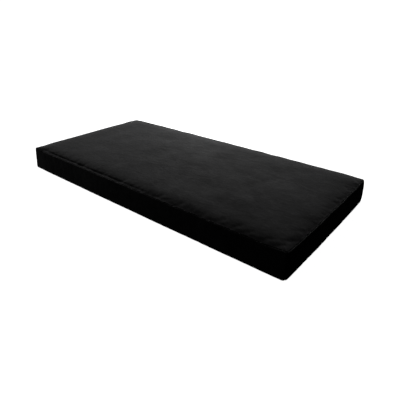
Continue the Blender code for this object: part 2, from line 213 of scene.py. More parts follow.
class Plan:
    """Stations round the mattress, seen from above.

    A corner is a quarter circle and a side is a straight run between two corners. Each station
    has signs, which place the centre of its corner in the rectangle, and an angle, which is the
    way the wall faces there. Stations crowd together at the middle of a corner, where a seam is.
    """

    STEP = 0.010
    CORNER_STEPS = 20
    CROWDING = 1.5
    KNEE = 0.012

    def __init__(self, radius):
        self.radius = radius
        signs, angles, bows = [], [], []
        spread = np.linspace(-1, 1, self.CORNER_STEPS + 1)
        turn = 0.5 + 0.5 * np.sign(spread) * np.abs(spread) ** self.CROWDING
        self.seam_columns = []
        for corner, here in enumerate(CORNERS):
            after = CORNERS[(corner + 1) % 4]
            self.seam_columns.append(sum(map(len, angles)) + self.CORNER_STEPS // 2)
            signs.append(np.tile(here, (len(turn), 1)))
            angles.append((corner - 1 + turn) * FULL_TURN / 4)
            bows.append(np.zeros(len(turn)))
            run = 2 * (HALF_LENGTH if here[0] != after[0] else HALF_WIDTH) - 2 * radius
            count = round(run / self.STEP)
            way = np.arange(1, count) / count
            signs.append(here + (after - here) * way[:, None])
            angles.append(np.full(count - 1, corner * FULL_TURN / 4))
            bows.append(4 * way * (1 - way))
        self.signs = np.concatenate(signs)
        self.angle = np.concatenate(angles)
        self.bow = np.concatenate(bows)
        self.count = len(self.angle)
        self.facing = np.stack([np.cos(self.angle), np.sin(self.angle)], axis=-1)
        self.outline = self.at(np.zeros((1, self.count)))[0]
        steps = np.linalg.norm(self.outline - np.roll(self.outline, 1, axis=0), axis=1)
        self.length = steps.sum()
        steps[0] = 0
        self.along = np.cumsum(steps)

    def corner_radius(self, inset):
        """Parallel curves near the wall, and further in a radius that shrinks to 0 at the middle."""
        near = np.minimum(inset, self.KNEE)
        inner = np.maximum(inset - self.KNEE, 0) / (HALF_WIDTH - self.KNEE)
        return (self.radius - near) * (1 - inner)

    def at(self, inset):
        """(x, y) of each station at an inset, which may differ with the row and the station."""
        inset = np.broadcast_to(inset, (len(inset), self.count))
        radius = self.corner_radius(inset)
        half = np.array((HALF_LENGTH, HALF_WIDTH))
        centre = self.signs * (half - (inset + radius)[..., None])
        return centre + radius[..., None] * self.facing

    def from_seam(self):
        """Each station's distance along the wall from the nearest corner's seam."""
        gaps = self.along[:, None] - self.along[self.seam_columns]
        half = self.length / 2
        return np.abs((gaps + half) % self.length - half).min(axis=1)

    def side(self, side):
        """The columns of one side, from the seam in the corner before it to the next one."""
        first, last = self.seam_columns[side], self.seam_columns[(side + 1) % 4]
        last += self.count if last < first else 0
        return np.arange(first, last + 1) % self.count


def smooth(share):
    """Eases from 0 to 1 with a level start and end."""
    share = np.clip(share, 0, 1)
    return share * share * (3 - 2 * share)


def levelled(distance, reach):
    """0 at the seam, rising as a cubic to 1 at reach, and level from there."""
    return 1 - (1 - np.clip(distance / reach, 0, 1)) ** 3


def swell(along, around, height, length, seed):
    """A smooth wave along a closed line: cosines with whole numbers of waves round it, near
    around / length, with seeded phases, to a mean square of height squared."""
    random = np.random.default_rng(seed)
    most = around / length
    waves = np.unique(np.round(np.linspace(0.6 * most, 1.6 * most, 14)).clip(1))
    phase = random.uniform(0, FULL_TURN, len(waves))
    weight = random.uniform(0.5, 1.0, len(waves))
    total = (weight * np.cos(FULL_TURN * waves * along[..., None] / around + phase)).sum(-1)
    return height * (total / math.sqrt((weight**2).sum() / 2))


def ripple(x, y, height, length, seed):
    """A smooth wave over a plane: plane waves of about one length in seeded directions, to a
    mean square of height squared."""
    count = 18
    random = np.random.default_rng(seed)
    turn = random.uniform(0, FULL_TURN, count)
    pace = FULL_TURN / length * random.uniform(0.6, 1.5, count)
    phase = random.uniform(0, FULL_TURN, count)
    climb = x[..., None] * (pace * np.cos(turn)) + y[..., None] * (pace * np.sin(turn)) + phase
    return height * (np.cos(climb).sum(-1) / math.sqrt(count / 2))


class Field:
    """Values on a regular grid, read anywhere between its points by Catmull-Rom's cubic."""

    def __init__(self, values, lows, highs, wraps=False):
        self.values, self.wraps = values, wraps
        self.lows = np.array(lows)
        cells = np.array(values.shape) - (0 if wraps else 1, 1)
        self.steps = (np.array(highs) - lows) / cells

    def taps(self, where, axis):
        place = (where - self.lows[axis]) / self.steps[axis]
        base = np.floor(place).astype(int)
        t = place - base
        weights = (
            ((2 - t) * t - 1) * t / 2,
            ((3 * t - 5) * t * t + 2) / 2,
            ((4 - 3 * t) * t + 1) * t / 2,
            (t - 1) * t * t / 2,
        )
        count = self.values.shape[axis]
        around = self.wraps and axis == 0
        places = [base + k for k in (-1, 0, 1, 2)]
        if around:
            places = [place % count for place in places]
        else:
            places = [place.clip(0, count - 1) for place in places]
        return list(zip(places, weights))

    def at(self, first, second):
        return sum(
            one * two * self.values[i, j]
            for i, one in self.taps(first, 0)
            for j, two in self.taps(second, 1)
        )


# Meshes

WELD = 1e-5  # points nearer than this are one


def grid_mesh(
    name, points, wrap_rows=False, wrap_columns=False, capped=False, uv=None, weld=False, centre=None
):
    """A mesh from a grid of points, with its faces looking out, away from its centre.

    A grid that wraps joins its last row or column to its first. Capped closes the first and last
    column of a grid whose rows wrap. uv is a grid of (u, v) in metres, one row or column longer
    where the grid wraps. Weld joins points that coincide, as where rings meet at the middle.
    """
    rows, columns = points.shape[:2]
    place = np.arange(rows * columns).reshape(rows, columns)
    if wrap_rows:
        place = np.vstack([place, place[:1]])
    if wrap_columns:
        place = np.hstack([place, place[:, :1]])
    spot = np.arange(place.size).reshape(place.shape)
    quads = np.stack([spot[:-1, :-1], spot[:-1, 1:], spot[1:, 1:], spot[1:, :-1]], axis=-1)
    quads = quads.reshape(-1, 4)
    flat = points.reshape(-1, 3)
    a, b, c, d = (flat[place.ravel()[quads[:, i]]] for i in range(4))
    centre = flat.mean(axis=0) if centre is None else centre
    inward = (np.cross(c - a, d - b) * ((a + c) / 2 - centre)).sum() < 0
    if inward:
        quads = quads[:, ::-1]
    faces = place.ravel()[quads].tolist()
    if capped:
        ends = [place[:-1, 0].tolist(), place[:-1, -1].tolist()]
        faces += [ends[0], ends[1][::-1]] if inward else [ends[0][::-1], ends[1]]
    mesh = bpy.data.meshes.new(name)
    mesh.from_pydata(flat.tolist(), [], faces)
    if uv is not None:
        values = np.zeros((len(mesh.loops), 2))
        values[: quads.size] = uv.reshape(-1, 2)[quads.ravel()]
        mesh.uv_layers.new(name="metres").data.foreach_set("uv", values.ravel())
    if weld:
        shape = bmesh.new()
        shape.from_mesh(mesh)
        bmesh.ops.remove_doubles(shape, verts=shape.verts, dist=WELD)
        shape.to_mesh(mesh)
        shape.free()
    mesh.polygons.foreach_set("use_smooth", np.ones(len(mesh.polygons), bool))
    return mesh


def joined(name, meshes):
    """One mesh of several."""
    shape = bmesh.new()
    for mesh in meshes:
        shape.from_mesh(mesh)
        bpy.data.meshes.remove(mesh)
    whole = bpy.data.meshes.new(name)
    shape.to_mesh(whole)
    shape.free()
    return whole


def tube(name, path, radius, sides, closed=False, up=(0, 0, 1)):
    """A round tube along a path, which may close. Each ring is a circle across the path, and its
    radius may change along it. One axis of the circle is the path's direction crossed with up."""
    if closed:
        ahead = np.roll(path, -1, axis=0) - np.roll(path, 1, axis=0)
    else:
        ahead = np.gradient(path, axis=0)
    ahead /= np.linalg.norm(ahead, axis=1, keepdims=True)
    across = np.cross(ahead, np.asarray(up, float))
    across /= np.linalg.norm(across, axis=1, keepdims=True)
    over = np.cross(across, ahead)
    turn = np.arange(sides)[:, None, None] / sides * FULL_TURN
    radius = np.broadcast_to(radius, (len(path),))[:, None]
    points = path + radius * (np.cos(turn) * across + np.sin(turn) * over)
    return grid_mesh(name, points, wrap_rows=True, wrap_columns=closed, capped=not closed)


def run_of(line):
    """The length of a line of points."""
    return np.linalg.norm(np.diff(line, axis=0), axis=1).sum()


def even_line(line, count, closed=False):
    """Values read along a line at even distances. Its first three are the place."""
    if closed:
        line = np.vstack([line, line[:1]])
    run = np.concatenate([[0], np.cumsum(np.linalg.norm(np.diff(line[:, :3], axis=0), axis=1))])
    at = np.linspace(0, run[-1], count, endpoint=not closed)
    return np.stack([np.interp(at, run, column) for column in line.T], axis=-1)


def stitched(name, line, inward, radius, stitch, closed=False, up=(0, 0, 1)):
    """Thread along a line. In each stitch it rises over the cloth and dives back in at its ends:
    depth is 1.3 radius cos2(pi s / stitch), and the thread is thinnest there."""
    samples, sides = 5, 5
    line = np.hstack([line, np.broadcast_to(inward, line.shape)])
    stitches = round(run_of(line[:, :3]) / stitch)
    count = stitches * samples + (0 if closed else 1)
    line = even_line(line, count, closed)
    dip = np.cos(math.pi * np.arange(count) / samples) ** 2
    path = line[:, :3] + line[:, 3:] * (1.3 * radius * dip)[:, None]
    return tube(name, path, radius * (1 - 0.4 * dip), sides, closed, up)


def show(mesh, name, body, finish_name, nodes, thickness=0.0, offset=-1.0):
    """Makes a piece of a mesh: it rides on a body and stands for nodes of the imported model."""
    piece = bpy.data.objects.new(name, mesh)
    bpy.context.scene.collection.objects.link(piece)
    mesh.materials.clear()
    mesh.materials.append(finish(finish_name))
    if thickness:
        wall = piece.modifiers.new("cloth", "SOLIDIFY")
        wall.thickness = thickness
        wall.offset = offset
    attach(piece, body)
    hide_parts(*nodes)
    return piece


# Materials


class Signal:
    """A socket's output, with arithmetic that adds Math nodes."""

    def __init__(self, tree, socket):
        self.tree, self.socket = tree, socket

    def maths(self, operation, *values, clamp=False):
        node = self.tree.nodes.new("ShaderNodeMath")
        node.operation = operation
        node.use_clamp = clamp
        for inlet, value in zip(node.inputs, values):
            feed(self.tree, inlet, value)
        return Signal(self.tree, node.outputs[0])

    def __add__(self, other):
        return self.maths("ADD", self, other)

    __radd__ = __add__

    def __sub__(self, other):
        return self.maths("SUBTRACT", self, other)

    def __rsub__(self, other):
        return self.maths("SUBTRACT", other, self)

    def __mul__(self, other):
        return self.maths("MULTIPLY", self, other)

    __rmul__ = __mul__

    def clipped(self):
        return self.maths("ADD", self, 0.0, clamp=True)

    def under(self, level):
        return self.maths("LESS_THAN", self, level)

    def pingpong(self, length):
        return self.maths("PINGPONG", self, length)

    def wave(self, length):
        """0 to 1 and back over each length."""
        return self.maths("SINE", self * (FULL_TURN / length)) * 0.5 + 0.5


def feed(tree, inlet, value):
    """Gives a socket a value, or a link where the value is a signal."""
    if isinstance(value, Signal):
        tree.links.new(value.socket, inlet)
    else:
        inlet.default_value = value


class Nodes:
    """A node tree in the making."""

    def __init__(self, tree):
        self.tree = tree

    def add(self, kind, settings, values, outlet=0):
        """A node: its settings are set first, and then its sockets get values or links."""
        node = self.tree.nodes.new("ShaderNode" + kind)
        for setting, value in settings.items():
            setattr(node, setting, value)
        for inlet, value in values.items():
            feed(self.tree, node.inputs[inlet], value)
        return Signal(self.tree, node.outputs[outlet])


class Finish(Nodes):
    """A material in the making."""

    def __init__(self, name, constants):
        self.material = bpy.data.materials.new(name)
        self.material.use_nodes = True
        super().__init__(self.material.node_tree)
        self.shader = self.tree.nodes["Principled BSDF"]
        for socket, value in constants.items():
            self.set(socket, value)

    def set(self, socket, value):
        feed(self.tree, self.shader.inputs[socket], value)

    def place(self, stretch=(1.0, 1.0, 1.0), turn=0.0):
        """The point on the object, in metres, turned about Z and with each axis stretched."""
        point = self.add("TexCoord", {}, {}, "Object")
        return self.add("Mapping", {}, {"Vector": point, "Rotation": (0, 0, turn), "Scale": stretch})

    def on_cloth(self):
        """The point along and across the cloth, in metres."""
        point = self.add("UVMap", {"uv_map": "metres"}, {})
        return [self.add("SeparateXYZ", {}, {"Vector": point}, axis) for axis in ("X", "Y")]

    def noise(self, where, scale, detail=2.0, roughness=0.5, outlet=0):
        values = {"Vector": where, "Scale": scale, "Detail": detail, "Roughness": roughness}
        return self.add("TexNoise", {}, values, outlet)

    def warped(self, where, scale, amount):
        """A place moved about by noise."""
        moved = self.noise(where, scale, outlet=1)
        values = {0: moved, 1: (amount, amount, amount), 2: where}
        return self.add("VectorMath", {"operation": "MULTIPLY_ADD"}, values)

    def mix(self, factor, first, second):
        """A colour between two colours."""
        values = {0: factor, 6: rgba(first), 7: rgba(second)}
        return self.add("Mix", {"data_type": "RGBA"}, values, 2)

    def tones(self, factor, colour, darkest, palest):
        """A colour between a darker and a paler tone of one colour."""
        ends = scaled(colour, darkest), scaled(colour, palest)
        self.set("Base Color", self.mix(factor.clipped(), *ends))

    def bumps(self, *layers):
        """Tilts the normal by layers of (height, distance, strength), one on another."""
        normal = None
        for height, distance, strength in layers:
            values = {"Height": height, "Distance": distance, "Strength": strength}
            if normal:
                values["Normal"] = normal
            normal = self.add("Bump", {}, values)
        self.set("Normal", normal)


def scaled(colour, factor):
    return tuple(min(1.0, channel * factor) for channel in colour)


def rgba(colour):
    return (*colour, 1.0)


def velvet_finish(colours):
    """Short black pile. Broad patches and brush strokes show where it leans one way or the other,
    and a fine grain is its fibres. Where it leans, the base colour is painted sheen or painted
    shade, paler or darker as the pile would catch the light; the lean also sets the roughness.
    The sheen is the light on the tips of the pile."""
    made = Finish(
        "black_velvet",
        {
            "Specular IOR Level": 0.08,
            "Sheen Weight": 0.11,
            "Sheen Roughness": 0.38,
            "Sheen Tint": rgba((0.9, 0.9, 0.92)),
        },
    )
    where = made.place()
    patches = made.noise(made.warped(where, 2.6, 0.22), 4.2, 3.0, 0.55)
    brushed = made.warped(made.place((0.6, 1.0, 1.0), 0.5), 7.0, 0.12)
    strokes = made.noise(brushed, 21.0, 4.0, 0.62)
    flecks = made.noise(made.warped(made.place((0.8, 1.0, 1.0), 0.3), 30.0, 0.01), 72.0, 3.0, 0.6)
    pile = made.noise(where, 1100.0)
    # Painted sheen and painted shade: where the pile leans one way or the other, the base colour is
    # paler or darker. The same lean also sets the roughness.
    lean_and_painted_sheen = (0.5 + (patches - 0.5) * 1.5 + (strokes - 0.5) * 1.7 + (flecks - 0.5) * 0.7).clipped()
    made.set("Base Color", made.mix(lean_and_painted_sheen, colours.velvet_painted_shade, colours.velvet_painted_sheen))
    made.set("Roughness", 1.0 - lean_and_painted_sheen * 0.12)
    made.bumps((strokes, 0.0050, 0.40), (flecks, 0.0018, 0.40), (pile, 0.0004, 0.35))
    return made


def thread_finish(colours):
    """Twisted thread: slanting plies, a little fuzzy."""
    made = Finish("black_thread", {"Roughness": 0.62, "Sheen Weight": 0.1, "Sheen Roughness": 0.4})
    plies = made.noise(made.place((1.0, 1.0, 0.4), 0.7), 1500.0, 1.0)
    made.tones(made.noise(made.place(), 2400.0), colours.thread, 0.6, 1.5)
    made.bumps((plies, 0.0003, 0.6))
    return made


def tape_finish(colours):
    """Zip tape: a herringbone of fine ribs, which turn back every few millimetres."""
    made = Finish("zip_tape", {"Sheen Weight": 0.06, "Sheen Roughness": 0.5})
    along, across = made.on_cloth()
    rib = (along + across.pingpong(0.0022)).wave(0.0011)
    wear = made.noise(made.place(), 60.0, 3.0)
    made.tones(rib * 0.6 + wear * 0.5, colours.tape, 0.5, 1.6)
    made.set("Roughness", 0.78 + rib * 0.14)
    made.bumps((rib, 0.0002, 0.7))
    return made


def coil_finish(colours):
    """Satin nylon, slightly worn on its crests."""
    made = Finish("zip_coil", {"Coat Weight": 0.1, "Coat Roughness": 0.3})
    wear = made.noise(made.place(), 240.0, 3.0)
    made.tones(wear, colours.coil, 0.7, 1.5)
    made.set("Roughness", 0.30 + wear * 0.22)
    made.bumps((made.noise(made.place(), 2600.0), 0.00008, 0.5))
    return made


def metal_finish(colours):
    """Dark plated metal with fine scuffs."""
    made = Finish("dark_metal", {"Metallic": 1.0})
    scuffs = made.noise(made.warped(made.place((1.0, 3.0, 0.6)), 60.0, 0.01), 700.0, 4.0)
    made.tones(made.noise(made.place(), 130.0, 3.0), colours.metal, 0.75, 1.35)
    made.set("Roughness", 0.22 + scuffs * 0.28)
    made.bumps((scuffs, 0.00006, 0.5))
    return made


def label_finish(colours):
    """Satin ribbon: a fine weave with long floats."""
    made = Finish("white_satin", {"Sheen Weight": 0.15, "Sheen Roughness": 0.3})
    along, across = made.on_cloth()
    weave = along.wave(0.0005) * 0.35 + across.wave(0.0003) * 0.65
    made.tones(made.noise(made.place(), 45.0, 4.0), colours.label, 0.88, 1.04)
    made.set("Roughness", 0.36 + weave * 0.16)
    made.bumps((weave, 0.00008, 0.6))
    return made


def liner_finish(colours):
    """Non-woven cloth: matted fibres, pressed together in a grid of small points."""
    made = Finish("liner_cloth", {"Roughness": 0.92, "Sheen Weight": 0.1, "Sheen Roughness": 0.5})
    fibres = made.noise(made.warped(made.place(), 220.0, 0.004), 900.0, 4.0, 0.7)
    bonds = made.add("TexVoronoi", {}, {"Vector": made.place(), "Scale": 420.0, "Randomness": 0.15})
    clouds = made.noise(made.place(), 14.0, 3.0)
    made.tones(fibres * 0.6 + clouds * 0.5, colours.liner, 0.86, 1.06)
    made.bumps((fibres, 0.0002, 0.5), (bonds, 0.0003, 0.4))
    return made


def liner_thread_finish(colours):
    """Charcoal spun thread."""
    made = Finish("liner_thread", {"Roughness": 0.7, "Sheen Weight": 0.1})
    plies = made.noise(made.place((1.0, 1.0, 0.4), 0.7), 1500.0, 1.0)
    made.tones(plies, colours.liner, 0.95, 1.15)
    made.bumps((plies, 0.0003, 0.6))
    return made


def batting_finish(colours):
    """Lofted wadding: cloudy, with tangled fibres."""
    made = Finish("batting", {"Roughness": 1.0, "Sheen Weight": 0.25, "Sheen Roughness": 0.6})
    tangle = made.noise(made.warped(made.place(), 60.0, 0.02), 480.0, 5.0, 0.75)
    clouds = made.noise(made.place(), 18.0, 3.0)
    made.tones(tangle * 0.7 + clouds * 0.4, colours.batting, 0.85, 1.08)
    made.bumps((tangle, 0.0015, 0.7), (clouds, 0.006, 0.4))
    return made


def foam_finish(colours):
    """Open-cell foam: cut cells of two sizes, and faint saw lines. Its colour darkens where the
    cells' relief is low and in the pores, as painted shade.
    """
    made = Finish("foam", {"Roughness": 0.95})
    cells = made.add("TexVoronoi", {}, {"Vector": made.place(), "Scale": 620.0})
    pores = made.add("TexVoronoi", {}, {"Vector": made.place(), "Scale": 210.0})
    saw = made.noise(made.place((0.05, 1.0, 1.0)), 140.0)
    relief_and_painted_shade = (1.0 - cells * 1.6).clipped() * (1.0 - pores.under(0.22) * 0.5)
    # Painted shade: the foam is darker where its relief is low, between cells and in the pores. The
    # same relief drives the bump.
    made.tones(relief_and_painted_shade * 0.7 + saw * 0.3, colours.foam, 0.8, 1.08)
    made.bumps((saw, 0.0006, 0.3), (relief_and_painted_shade, 0.0008, 0.6))
    return made


FINISHES = {
    "velvet": velvet_finish,
    "thread": thread_finish,
    "tape": tape_finish,
    "coil": coil_finish,
    "metal": metal_finish,
    "label": label_finish,
    "liner": liner_finish,
    "liner_thread": liner_thread_finish,
    "batting": batting_finish,
    "foam": foam_finish,
}
made_finishes = {}


def finish(name):
    """The finish of that name, made once."""
    if name not in made_finishes:
        made_finishes[name] = FINISHES[name](bpy.context.scene.futon_colours).material
    return made_finishes[name]


# Cloth

FRAMES = 20
PRESSURE = 1.5
LOOSEST = 0.05  # the least hold on cloth that isn't sewn
SETTLED_MOST = 0.0020  # how far settling may move the cloth


def settled(points, hold, wraps, slack):
    """How far a grid of cloth moves as it settles, as (rows, columns, 3).

    The cloth is cut larger than its grid by its slack, and is blown outwards a little by what it
    covers. Hold is each point's pull back to its place: 1 fixes it, as a seam does.
    """
    mesh = grid_mesh("settling", points, wrap_columns=wraps, centre=CENTRE)
    cloth = bpy.data.objects.new("settling", mesh)
    scene = bpy.context.scene
    scene.collection.objects.link(cloth)
    group = cloth.vertex_groups.new(name="hold")
    levels = np.round(hold.ravel(), 2)
    for level in np.unique(levels):
        group.add(np.flatnonzero(levels == level).tolist(), float(level), "REPLACE")
    run = cloth.modifiers.new("settling", "CLOTH")
    setting = run.settings
    setting.quality = 6
    setting.mass = 0.25
    setting.tension_stiffness = setting.compression_stiffness = 20.0
    setting.shear_stiffness = 6.0
    setting.bending_stiffness = 0.6
    setting.vertex_group_mass = "hold"
    setting.pin_stiffness = 0.6
    setting.shrink_min = -slack
    setting.use_pressure = True
    setting.uniform_pressure_force = PRESSURE
    setting.effector_weights.gravity = 0.0
    run.collision_settings.use_collision = False
    for frame_number in range(1, FRAMES + 1):
        scene.frame_set(frame_number)
    moved = cloth.evaluated_get(bpy.context.evaluated_depsgraph_get())
    values = np.empty(points.size, np.float32)
    moved.data.vertices.foreach_get("co", values)
    scene.frame_set(1)
    bpy.data.objects.remove(cloth)
    bpy.data.meshes.remove(mesh)
    return values.reshape(points.shape) - points


def capped(distance, most):
    """A distance that levels out before it reaches the most that it may be."""
    return most * np.tanh(distance / most)


# The cover's form


class Cover:
    """The outer form of the sewn cover: where its seams, panels and walls run.

    Each seam stands out of the plain plan by a little more at mid-length, and the wall bulges
    between its seams. The wall with the zip has two shallow bulges, so that the zip runs
    straight. The left end is narrower and bulges less, and its front corner stands up. Along
    the front, a groove in the top makes a low ridge of the left half of the seam, and the
    right half of the seam is tucked down. Settled cloth adds its folds to that, and then the
    filling lies a little lower, clear of the dents.
    """

    FADE = 0.045  # inset over which the top loses its seam's unevenness
    ZIP_FLAT = HEM_RADIUS + SLOT_RISE + 0.004  # rise over which the wall beside the zip is flat
    CORNER_REACH = 0.10  # distance from a corner over which it differs from the side
    CORNER_PINCH = 0.005  # how far a corner's top is drawn in
    FULL_CORNER = 0.003  # how far the seam rises at the front left corner
    FULL_REACH = 0.09  # distance over which that and a corner's dip fade out
    LEFT_PINCH = 0.003  # how far the left end's top is drawn in
    LEFT_FROM = 0.84  # distance from the middle at which the left end starts
    LEFT_REACH = 0.15  # length over which it comes on
    FRONT_CHANGE = 0.8  # length over which the front seam's ridge turns into the tuck
    FOOT = 0.002  # how far the bottom seam stands out, all round
    FRONT_FOOT = 0.004  # how much further it stands out at the front
    REAR_RISE = 0.003  # how far the rear's top seam rises at mid-length
    GROOVE = 0.0032  # depth of the groove beside the front seam
    GROOVE_INSET = 0.022
    GROOVE_WIDTH = 0.0065
    GROOVE_RUN = 0.30  # distance from a corner over which the groove comes on
    TUCK = 0.0022  # how far the right half of the front seam is tucked down
    SETTLED_GAP = 0.0035  # how far the filling lies under the settled top's level
    GATHER_INSET = 0.020  # distance over which a seam's gathers fade out on a panel
    GATHER_RISE = 0.016  # the same on a wall
    SWELL_INSET = 0.2  # inset over which the top's own swell comes on

    def __init__(self, sizes):
        self.sizes = sizes
        self.plan = plan = Plan(sizes.corner_radius)
        self.panel_edge = PANEL_INSET + sizes.fold
        self.top_cloth = self.wall_cloth = None
        rear = smooth(1 - np.abs(plan.angle / (FULL_TURN / 4) - 1))
        front = smooth(-plan.facing[:, 1])
        bow = plan.bow**0.7
        corner = plan.from_seam()
        x, y = plan.outline.T
        left_end = smooth((-x - self.LEFT_FROM) / self.LEFT_REACH)
        left_front = smooth(-x / self.FRONT_CHANGE + 0.5) * (y < 0)
        narrow = self.CORNER_PINCH * np.exp(-((corner / self.CORNER_REACH) ** 2))
        narrow = narrow + self.LEFT_PINCH * left_end
        waver = self.round_plan(WAVER)
        self.zip_share = rear
        self.top_out = (1 - 0.8 * rear) * (sizes.top_bow * bow + waver - narrow)
        foot = sizes.bottom_bow * bow + self.FOOT + self.FRONT_FOOT * front + 0.5 * waver
        self.bottom_out = (1 - 0.9 * rear) * foot
        bulge = sizes.wall_bow * (0.8 + 0.2 * bow) * (1 + self.round_plan(WALL_SWELL))
        self.wall_out = bulge * (1 - 0.7 * left_end)
        from_corner = (x + HALF_LENGTH) ** 2 + (y + HALF_WIDTH) ** 2
        full_corner = self.FULL_CORNER * np.exp(-from_corner / self.FULL_REACH**2)
        dip = sizes.corner_drop * np.exp(-((corner / self.FULL_REACH) ** 2))
        rise = self.round_plan(SEAM_SWELL) + self.REAR_RISE * rear * bow
        self.seam_lift = rise + full_corner - dip
        self.gather = sizes.pucker * (self.round_plan(GATHER_SHORT) + self.round_plan(GATHER_LONG))
        groove = self.GROOVE * left_front * (1 + self.round_plan(GROOVE_SWELL))
        self.groove = groove * smooth(corner / self.GROOVE_RUN)
        self.tuck = self.TUCK * front * (1 - left_front) * smooth(corner / self.CORNER_REACH)
        self.crease = sizes.crease * np.exp(-((corner / sizes.crease) ** 2))
        self.settled_gap = 0.0
        self.settle()

    def settle(self):
        """Lets the top and the walls settle, and keeps how far they move."""
        self.top_cloth, self.wall_cloth = settle_top(self), settle_walls(self)
        self.settled_gap = self.SETTLED_GAP

    def round_plan(self, wave):
        """A wave round the plan."""
        return swell(self.plan.along, self.plan.length, *wave)

    def crown(self, x, y):
        """How far the top rises over its seam: a curve from each pair of sides, multiplied."""
        rise = self.sizes.crown
        for half, place in ((HALF_LENGTH, x), (HALF_WIDTH, y)):
            rise = rise * levelled(half - self.panel_edge - np.abs(place), self.sizes.crown_reach)
        return rise

    def fade(self, inset):
        """1 at the seam, falling to 0 further in as a bell curve."""
        return np.exp(-((inset / self.FADE) ** 2))

    def gather_fade(self, inset):
        """How much of a seam's gathers is left at an inset on a panel."""
        return np.exp(-((inset - PANEL_INSET) / self.GATHER_INSET))

    def lift(self, inset, x, y):
        """How far the top's face stands over the plain height of its seam."""
        rise = self.crown(x, y) + self.seam_lift * self.fade(inset)
        rise = rise + ripple(x, y, *TOP_SWELL) * levelled(inset, self.SWELL_INSET)
        rise = rise + self.gather * self.gather_fade(inset)
        beside = (inset - self.GROOVE_INSET) / self.GROOVE_WIDTH
        rise = rise - self.groove * np.exp(-(beside**2))
        if self.top_cloth:
            rise = rise + self.top_cloth.at(x, y)
        return rise

    def placed(self, inset, height, out):
        """Points of a grid from insets and heights, moved outwards."""
        shape = (len(inset), self.plan.count)
        flat = self.plan.at(np.broadcast_to(inset, shape) - out)
        return np.concatenate([flat, np.broadcast_to(height, shape)[..., None]], axis=-1)

    def panel(self, rows, top):
        """A panel: rows of (inset, height over its face, which is under 0 in the fold)."""
        inset, depth = rows[:, :1], rows[:, 1:]
        points = self.placed(inset, 0, (self.top_out if top else self.bottom_out) * self.fade(inset))
        if top:
            points[..., 2] = EDGE + depth + self.lift(inset, points[..., 0], points[..., 1])
        else:
            points[..., 2] = -depth - np.minimum(self.gather, 0) * self.gather_fade(inset)
        return points

    def outward(self, height):
        """How far a wall stands out at a height."""
        up = np.clip(height / EDGE, 0, 1)
        bulge = self.wall_out * (1 - np.abs(2 * up - 1) ** 4)
        plain = self.bottom_out * (1 - up) + self.top_out * up + bulge
        off = np.clip((np.abs(height - MID) - self.ZIP_FLAT) / (MID - self.ZIP_FLAT), 0, 1)
        seam = np.where(height > MID, self.top_out, self.bottom_out)
        zipped = seam * off + self.sizes.zip_bow * np.sin(math.pi * off) ** 2
        out = plain + (zipped - plain) * self.zip_share
        if self.wall_cloth:
            loose = 1 - self.zip_share * (1 - 0.3 * np.sin(math.pi * off) ** 2)
            out = out + loose * self.wall_cloth.at(self.plan.along + 0 * up, EDGE * up + 0 * out)
        return out

    def wall(self, rows):
        """A wall: rows of (inset, height)."""
        inset, height = rows[:, :1], rows[:, 1:]
        near = np.exp(-height / self.GATHER_RISE) + np.exp(-(EDGE - height) / self.GATHER_RISE)
        out = self.outward(height) + 0.6 * self.gather * near - self.crease
        up = np.clip(height / EDGE, 0, 1)
        return self.placed(inset, height + self.seam_lift * up**3 - self.tuck * up**8, out)

    def filling(self, rows):
        """What lies inside: rows of (inset, rise from mid-wall), under a face without a crown.
        The upper rows rise with the top."""
        inset, rise = rows[:, :1], rows[:, 1:]
        out = (self.outward(MID + rise) - self.crease) * self.fade(inset)
        points = self.placed(inset, MID + rise, out)
        level = np.maximum(inset, FILLING_EDGE)
        lift = self.lift(level, points[..., 0], points[..., 1]) - self.settled_gap
        points[..., 2] += lift * smooth((rise - (ALLOWANCE_TIP - MID)) / 0.010)
        return points


def settle_top(form):
    """The top's rise as it settles, on a grid over the panel whose edge is sewn."""
    step = 0.018
    half = np.array((HALF_LENGTH, HALF_WIDTH)) - form.panel_edge
    x, y = np.meshgrid(*(np.linspace(-h, h, round(2 * h / step) + 1) for h in half), indexing="ij")
    height = EDGE + form.crown(x, y) + ripple(x, y, *SETTLING_SWELL)
    points = np.stack([x, y, height], axis=-1)
    inset = np.minimum(half[0] - np.abs(x), half[1] - np.abs(y))
    firmer = 0.07 * smooth(inset / 0.25)
    hold = np.where(inset < step / 2, 1.0, LOOSEST + firmer)
    moved = settled(points, hold, False, form.sizes.slack)[..., 2]
    return Field(capped(moved, SETTLED_MOST), -half, half)


def settle_walls(form):
    """The walls' bulge as they settle, on a grid round them whose top and bottom are sewn."""
    step = 0.016
    plan = form.plan
    line = np.column_stack([plan.outline, np.zeros(plan.count), plan.facing])
    line = even_line(line, round(plan.length / step), closed=True)
    height = np.linspace(0, EDGE, round(EDGE / step) + 1)
    bulge = 0.004 * np.sin(math.pi * height / EDGE)
    points = np.empty((len(height), len(line), 3))
    points[..., :2] = line[:, :2] + bulge[:, None, None] * line[:, 3:]
    points[..., 2] = height[:, None]
    hold = np.full(points.shape[:2], LOOSEST)
    hold[[0, -1]] = 1.0
    moved = settled(points, hold, True, form.sizes.slack)
    out = (moved[..., :2] * line[:, 3:]).sum(-1)
    return Field(capped(out, SETTLED_MOST).T, (0, 0), (plan.length, EDGE), wraps=True)


made_cover = []


def cover():
    """The cover's form, worked out once."""
    if not made_cover:
        made_cover.append(Cover(bpy.context.scene.futon_cover))
    return made_cover[0]


# Sections


def arc(centre, radius, start, end, steps):
    """Points (inset, height) on an arc between two angles in degrees."""
    angle = np.radians(np.linspace(start, end, steps + 1))
    return np.stack([centre[0] + radius * np.cos(angle), centre[1] + radius * np.sin(angle)], axis=-1)


def insets_between(first, last, start, growth, most):
    """Insets from first to last, whose steps grow from start by a factor up to the most."""
    steps = np.minimum(start * growth ** np.arange(1000), most)
    insets = first + np.cumsum(steps)
    return np.append(insets[insets < last - most / 3], last)


